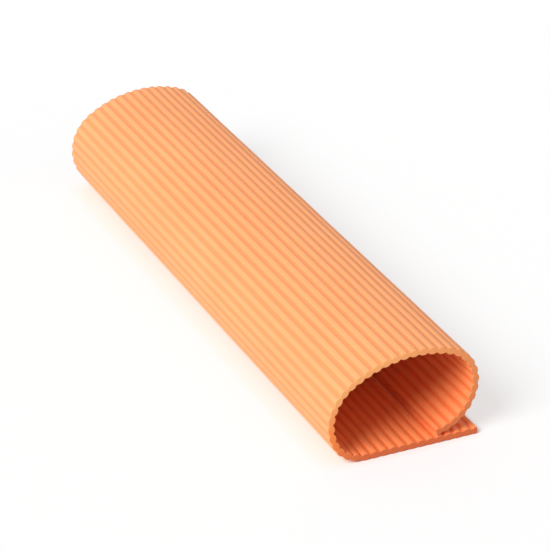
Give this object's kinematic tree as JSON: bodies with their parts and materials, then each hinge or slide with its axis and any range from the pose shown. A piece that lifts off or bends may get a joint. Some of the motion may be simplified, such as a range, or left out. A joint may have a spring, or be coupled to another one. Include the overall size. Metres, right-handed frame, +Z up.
{
  "type": "sushi rolling mat",
  "caption": "Ribbed silicone rolling mat wrapped once into a tube, with its tail flat on the table; it opens out flat.",
  "frame": {"origin": "on the table, under the middle of the wrapped mat", "axes": "+Y along the beads, +X towards the tail's free edge, +Z up"},
  "size_m": [0.0498, 0.21, 0.0336],
  "materials": {
    "silicone": "matte moulded silicone, peach orange"
  },
  "bodies": {
    "base": {"base_rib_05": "silicone", "base_rib_06": "silicone", "base_rib_07": "silicone", "base_rib_08": "silicone", "base_rib_09": "silicone", "base_rib_10": "silicone", "base_rib_11": "silicone", "base_rib_12": "silicone", "base_rib_13": "silicone"},
    "tail_rib_01": {"tail_rib_01": "silicone"},
    "tail_rib_02": {"tail_rib_02": "silicone"},
    "tail_rib_03": {"tail_rib_03": "silicone"},
    "tail_rib_04": {"tail_rib_04": "silicone"},
    "heel_rib_14": {"heel_rib_14": "silicone"},
    "heel_rib_15": {"heel_rib_15": "silicone"},
    "heel_rib_16": {"heel_rib_16": "silicone"},
    "heel_rib_17": {"heel_rib_17": "silicone"},
    "back_rib_18": {"back_rib_18": "silicone"},
    "back_rib_19": {"back_rib_19": "silicone"},
    "back_rib_20": {"back_rib_20": "silicone"},
    "back_rib_21": {"back_rib_21": "silicone"},
    "back_rib_22": {"back_rib_22": "silicone"},
    "back_rib_23": {"back_rib_23": "silicone"},
    "back_rib_24": {"back_rib_24": "silicone"},
    "top_rib_25": {"top_rib_25": "silicone"},
    "top_rib_26": {"top_rib_26": "silicone"},
    "top_rib_27": {"top_rib_27": "silicone"},
    "top_rib_28": {"top_rib_28": "silicone"},
    "top_rib_29": {"top_rib_29": "silicone"},
    "top_rib_30": {"top_rib_30": "silicone"},
    "top_rib_31": {"top_rib_31": "silicone"},
    "top_rib_32": {"top_rib_32": "silicone"},
    "top_rib_33": {"top_rib_33": "silicone"},
    "top_rib_34": {"top_rib_34": "silicone"},
    "top_rib_35": {"top_rib_35": "silicone"},
    "front_rib_36": {"front_rib_36": "silicone"},
    "front_rib_37": {"front_rib_37": "silicone"},
    "front_rib_38": {"front_rib_38": "silicone"},
    "front_rib_39": {"front_rib_39": "silicone"},
    "front_rib_40": {"front_rib_40": "silicone"},
    "front_rib_41": {"front_rib_41": "silicone"},
    "lead_rib_42": {"lead_rib_42": "silicone"},
    "lead_rib_43": {"lead_rib_43": "silicone"},
    "lead_rib_44": {"lead_rib_44": "silicone"},
    "lead_rib_45": {"lead_rib_45": "silicone"},
    "lead_rib_46": {"lead_rib_46": "silicone"},
    "lead_rib_47": {"lead_rib_47": "silicone"}
  },
  "joints": [
    {"name": "groove_13", "type": "hinge", "parent": "base", "child": "heel_rib_14", "pos_m": [-0.01392, 0, 0.00115], "axis": [0, -1, 0], "range_deg": [0, 15.89]},
    {"name": "groove_14", "type": "hinge", "parent": "heel_rib_14", "child": "heel_rib_15", "pos_m": [-0.01686, 0, 0.00199], "axis": [0, -1, 0], "range_deg": [0, 15.89]},
    {"name": "groove_15", "type": "hinge", "parent": "heel_rib_15", "child": "heel_rib_16", "pos_m": [-0.01946, 0, 0.0036], "axis": [0, -1, 0], "range_deg": [0, 15.89]},
    {"name": "groove_16", "type": "hinge", "parent": "heel_rib_16", "child": "heel_rib_17", "pos_m": [-0.02152, 0, 0.00586], "axis": [0, -1, 0], "range_deg": [0, 15.89]},
    {"name": "groove_17", "type": "hinge", "parent": "heel_rib_17", "child": "back_rib_18", "pos_m": [-0.02288, 0, 0.0086], "axis": [0, -1, 0], "range_deg": [0, 11.75]},
    {"name": "groove_18", "type": "hinge", "parent": "back_rib_18", "child": "back_rib_19", "pos_m": [-0.02366, 0, 0.01156], "axis": [0, -1, 0], "range_deg": [0, 11.75]},
    {"name": "groove_19", "type": "hinge", "parent": "back_rib_19", "child": "back_rib_20", "pos_m": [-0.02382, 0, 0.01462], "axis": [0, -1, 0], "range_deg": [0, 11.75]},
    {"name": "groove_20", "type": "hinge", "parent": "back_rib_20", "child": "back_rib_21", "pos_m": [-0.02335, 0, 0.01764], "axis": [0, -1, 0], "range_deg": [0, 11.75]},
    {"name": "groove_21", "type": "hinge", "parent": "back_rib_21", "child": "back_rib_22", "pos_m": [-0.02227, 0, 0.02051], "axis": [0, -1, 0], "range_deg": [0, 11.75]},
    {"name": "groove_22", "type": "hinge", "parent": "back_rib_22", "child": "back_rib_23", "pos_m": [-0.02064, 0, 0.02309], "axis": [0, -1, 0], "range_deg": [0, 11.75]},
    {"name": "groove_23", "type": "hinge", "parent": "back_rib_23", "child": "back_rib_24", "pos_m": [-0.01851, 0, 0.02529], "axis": [0, -1, 0], "range_deg": [0, 11.75]},
    {"name": "groove_24", "type": "hinge", "parent": "back_rib_24", "child": "top_rib_25", "pos_m": [-0.01598, 0, 0.02701], "axis": [0, -1, 0], "range_deg": [0, 4.77]},
    {"name": "groove_25", "type": "hinge", "parent": "top_rib_25", "child": "top_rib_26", "pos_m": [-0.01331, 0, 0.02851], "axis": [0, -1, 0], "range_deg": [0, 4.77]},
    {"name": "groove_26", "type": "hinge", "parent": "top_rib_26", "child": "top_rib_27", "pos_m": [-0.01053, 0, 0.02979], "axis": [0, -1, 0], "range_deg": [0, 4.77]},
    {"name": "groove_27", "type": "hinge", "parent": "top_rib_27", "child": "top_rib_28", "pos_m": [-0.00765, 0, 0.03083], "axis": [0, -1, 0], "range_deg": [0, 4.77]},
    {"name": "groove_28", "type": "hinge", "parent": "top_rib_28", "child": "top_rib_29", "pos_m": [-0.0047, 0, 0.03163], "axis": [0, -1, 0], "range_deg": [0, 4.77]},
    {"name": "groove_29", "type": "hinge", "parent": "top_rib_29", "child": "top_rib_30", "pos_m": [-0.00169, 0, 0.03218], "axis": [0, -1, 0], "range_deg": [0, 4.77]},
    {"name": "groove_30", "type": "hinge", "parent": "top_rib_30", "child": "top_rib_31", "pos_m": [0.00136, 0, 0.03247], "axis": [0, -1, 0], "range_deg": [0, 4.77]},
    {"name": "groove_31", "type": "hinge", "parent": "top_rib_31", "child": "top_rib_32", "pos_m": [0.00442, 0, 0.03252], "axis": [0, -1, 0], "range_deg": [0, 4.77]},
    {"name": "groove_32", "type": "hinge", "parent": "top_rib_32", "child": "top_rib_33", "pos_m": [0.00747, 0, 0.0323], "axis": [0, -1, 0], "range_deg": [0, 4.77]},
    {"name": "groove_33", "type": "hinge", "parent": "top_rib_33", "child": "top_rib_34", "pos_m": [0.01049, 0, 0.03184], "axis": [0, -1, 0], "range_deg": [0, 4.77]},
    {"name": "groove_34", "type": "hinge", "parent": "top_rib_34", "child": "top_rib_35", "pos_m": [0.01347, 0, 0.03112], "axis": [0, -1, 0], "range_deg": [0, 4.77]},
    {"name": "groove_35", "type": "hinge", "parent": "top_rib_35", "child": "front_rib_36", "pos_m": [0.01638, 0, 0.03016], "axis": [0, -1, 0], "range_deg": [0, 13.63]},
    {"name": "groove_36", "type": "hinge", "parent": "front_rib_36", "child": "front_rib_37", "pos_m": [0.01897, 0, 0.02855], "axis": [0, -1, 0], "range_deg": [0, 13.63]},
    {"name": "groove_37", "type": "hinge", "parent": "front_rib_37", "child": "front_rib_38", "pos_m": [0.02111, 0, 0.02636], "axis": [0, -1, 0], "range_deg": [0, 13.63]},
    {"name": "groove_38", "type": "hinge", "parent": "front_rib_38", "child": "front_rib_39", "pos_m": [0.02268, 0, 0.02373], "axis": [0, -1, 0], "range_deg": [0, 13.63]},
    {"name": "groove_39", "type": "hinge", "parent": "front_rib_39", "child": "front_rib_40", "pos_m": [0.02359, 0, 0.02081], "axis": [0, -1, 0], "range_deg": [0, 13.63]},
    {"name": "groove_40", "type": "hinge", "parent": "front_rib_40", "child": "front_rib_41", "pos_m": [0.02378, 0, 0.01776], "axis": [0, -1, 0], "range_deg": [0, 13.63]},
    {"name": "groove_41", "type": "hinge", "parent": "front_rib_41", "child": "lead_rib_42", "pos_m": [0.02324, 0, 0.01474], "axis": [0, -1, 0], "range_deg": [0, 11.27]},
    {"name": "groove_42", "type": "hinge", "parent": "lead_rib_42", "child": "lead_rib_43", "pos_m": [0.02213, 0, 0.01189], "axis": [0, -1, 0], "range_deg": [0, 11.27]},
    {"name": "groove_43", "type": "hinge", "parent": "lead_rib_43", "child": "lead_rib_44", "pos_m": [0.02048, 0, 0.00932], "axis": [0, -1, 0], "range_deg": [0, 11.27]},
    {"name": "groove_44", "type": "hinge", "parent": "lead_rib_44", "child": "lead_rib_45", "pos_m": [0.01836, 0, 0.00711], "axis": [0, -1, 0], "range_deg": [0, 11.27]},
    {"name": "groove_45", "type": "hinge", "parent": "lead_rib_45", "child": "lead_rib_46", "pos_m": [0.01585, 0, 0.00536], "axis": [0, -1, 0], "range_deg": [0, 11.27]},
    {"name": "groove_46", "type": "hinge", "parent": "lead_rib_46", "child": "lead_rib_47", "pos_m": [0.01304, 0, 0.00414], "axis": [0, -1, 0], "range_deg": [0, 11.27]},
    {"name": "groove_04", "type": "hinge", "parent": "base", "child": "tail_rib_04", "pos_m": [0.01362, 0, 0.00115], "axis": [0, -1, 0], "range_deg": [0, 12]},
    {"name": "groove_03", "type": "hinge", "parent": "tail_rib_04", "child": "tail_rib_03", "pos_m": [0.01668, 0, 0.00115], "axis": [0, -1, 0], "range_deg": [0, 12]},
    {"name": "groove_02", "type": "hinge", "parent": "tail_rib_03", "child": "tail_rib_02", "pos_m": [0.01974, 0, 0.00115], "axis": [0, -1, 0], "range_deg": [0, 12]},
    {"name": "groove_01", "type": "hinge", "parent": "tail_rib_02", "child": "tail_rib_01", "pos_m": [0.0228, 0, 0.00115], "axis": [0, -1, 0], "range_deg": [0, 12]}
  ],
  "couplings": [
    {"joint": "groove_14", "follows": "groove_13", "ratio": 1},
    {"joint": "groove_15", "follows": "groove_13", "ratio": 1},
    {"joint": "groove_16", "follows": "groove_13", "ratio": 1},
    {"joint": "groove_17", "follows": "groove_13", "ratio": 0.73941},
    {"joint": "groove_18", "follows": "groove_13", "ratio": 0.73941},
    {"joint": "groove_19", "follows": "groove_13", "ratio": 0.73941},
    {"joint": "groove_20", "follows": "groove_13", "ratio": 0.73941},
    {"joint": "groove_21", "follows": "groove_13", "ratio": 0.73941},
    {"joint": "groove_22", "follows": "groove_13", "ratio": 0.73941},
    {"joint": "groove_23", "follows": "groove_13", "ratio": 0.73941},
    {"joint": "groove_24", "follows": "groove_13", "ratio": 0.30017},
    {"joint": "groove_25", "follows": "groove_13", "ratio": 0.30017},
    {"joint": "groove_26", "follows": "groove_13", "ratio": 0.30017},
    {"joint": "groove_27", "follows": "groove_13", "ratio": 0.30017},
    {"joint": "groove_28", "follows": "groove_13", "ratio": 0.30017},
    {"joint": "groove_29", "follows": "groove_13", "ratio": 0.30017},
    {"joint": "groove_30", "follows": "groove_13", "ratio": 0.30017},
    {"joint": "groove_31", "follows": "groove_13", "ratio": 0.30017},
    {"joint": "groove_32", "follows": "groove_13", "ratio": 0.30017},
    {"joint": "groove_33", "follows": "groove_13", "ratio": 0.30017},
    {"joint": "groove_34", "follows": "groove_13", "ratio": 0.30017},
    {"joint": "groove_35", "follows": "groove_13", "ratio": 0.85772},
    {"joint": "groove_36", "follows": "groove_13", "ratio": 0.85772},
    {"joint": "groove_37", "follows": "groove_13", "ratio": 0.85772},
    {"joint": "groove_38", "follows": "groove_13", "ratio": 0.85772},
    {"joint": "groove_39", "follows": "groove_13", "ratio": 0.85772},
    {"joint": "groove_40", "follows": "groove_13", "ratio": 0.85772},
    {"joint": "groove_41", "follows": "groove_13", "ratio": 0.7092},
    {"joint": "groove_42", "follows": "groove_13", "ratio": 0.7092},
    {"joint": "groove_43", "follows": "groove_13", "ratio": 0.7092},
    {"joint": "groove_44", "follows": "groove_13", "ratio": 0.7092},
    {"joint": "groove_45", "follows": "groove_13", "ratio": 0.7092},
    {"joint": "groove_46", "follows": "groove_13", "ratio": 0.7092},
    {"joint": "groove_03", "follows": "groove_04", "ratio": 1},
    {"joint": "groove_02", "follows": "groove_04", "ratio": 1},
    {"joint": "groove_01", "follows": "groove_04", "ratio": 1}
  ]
}
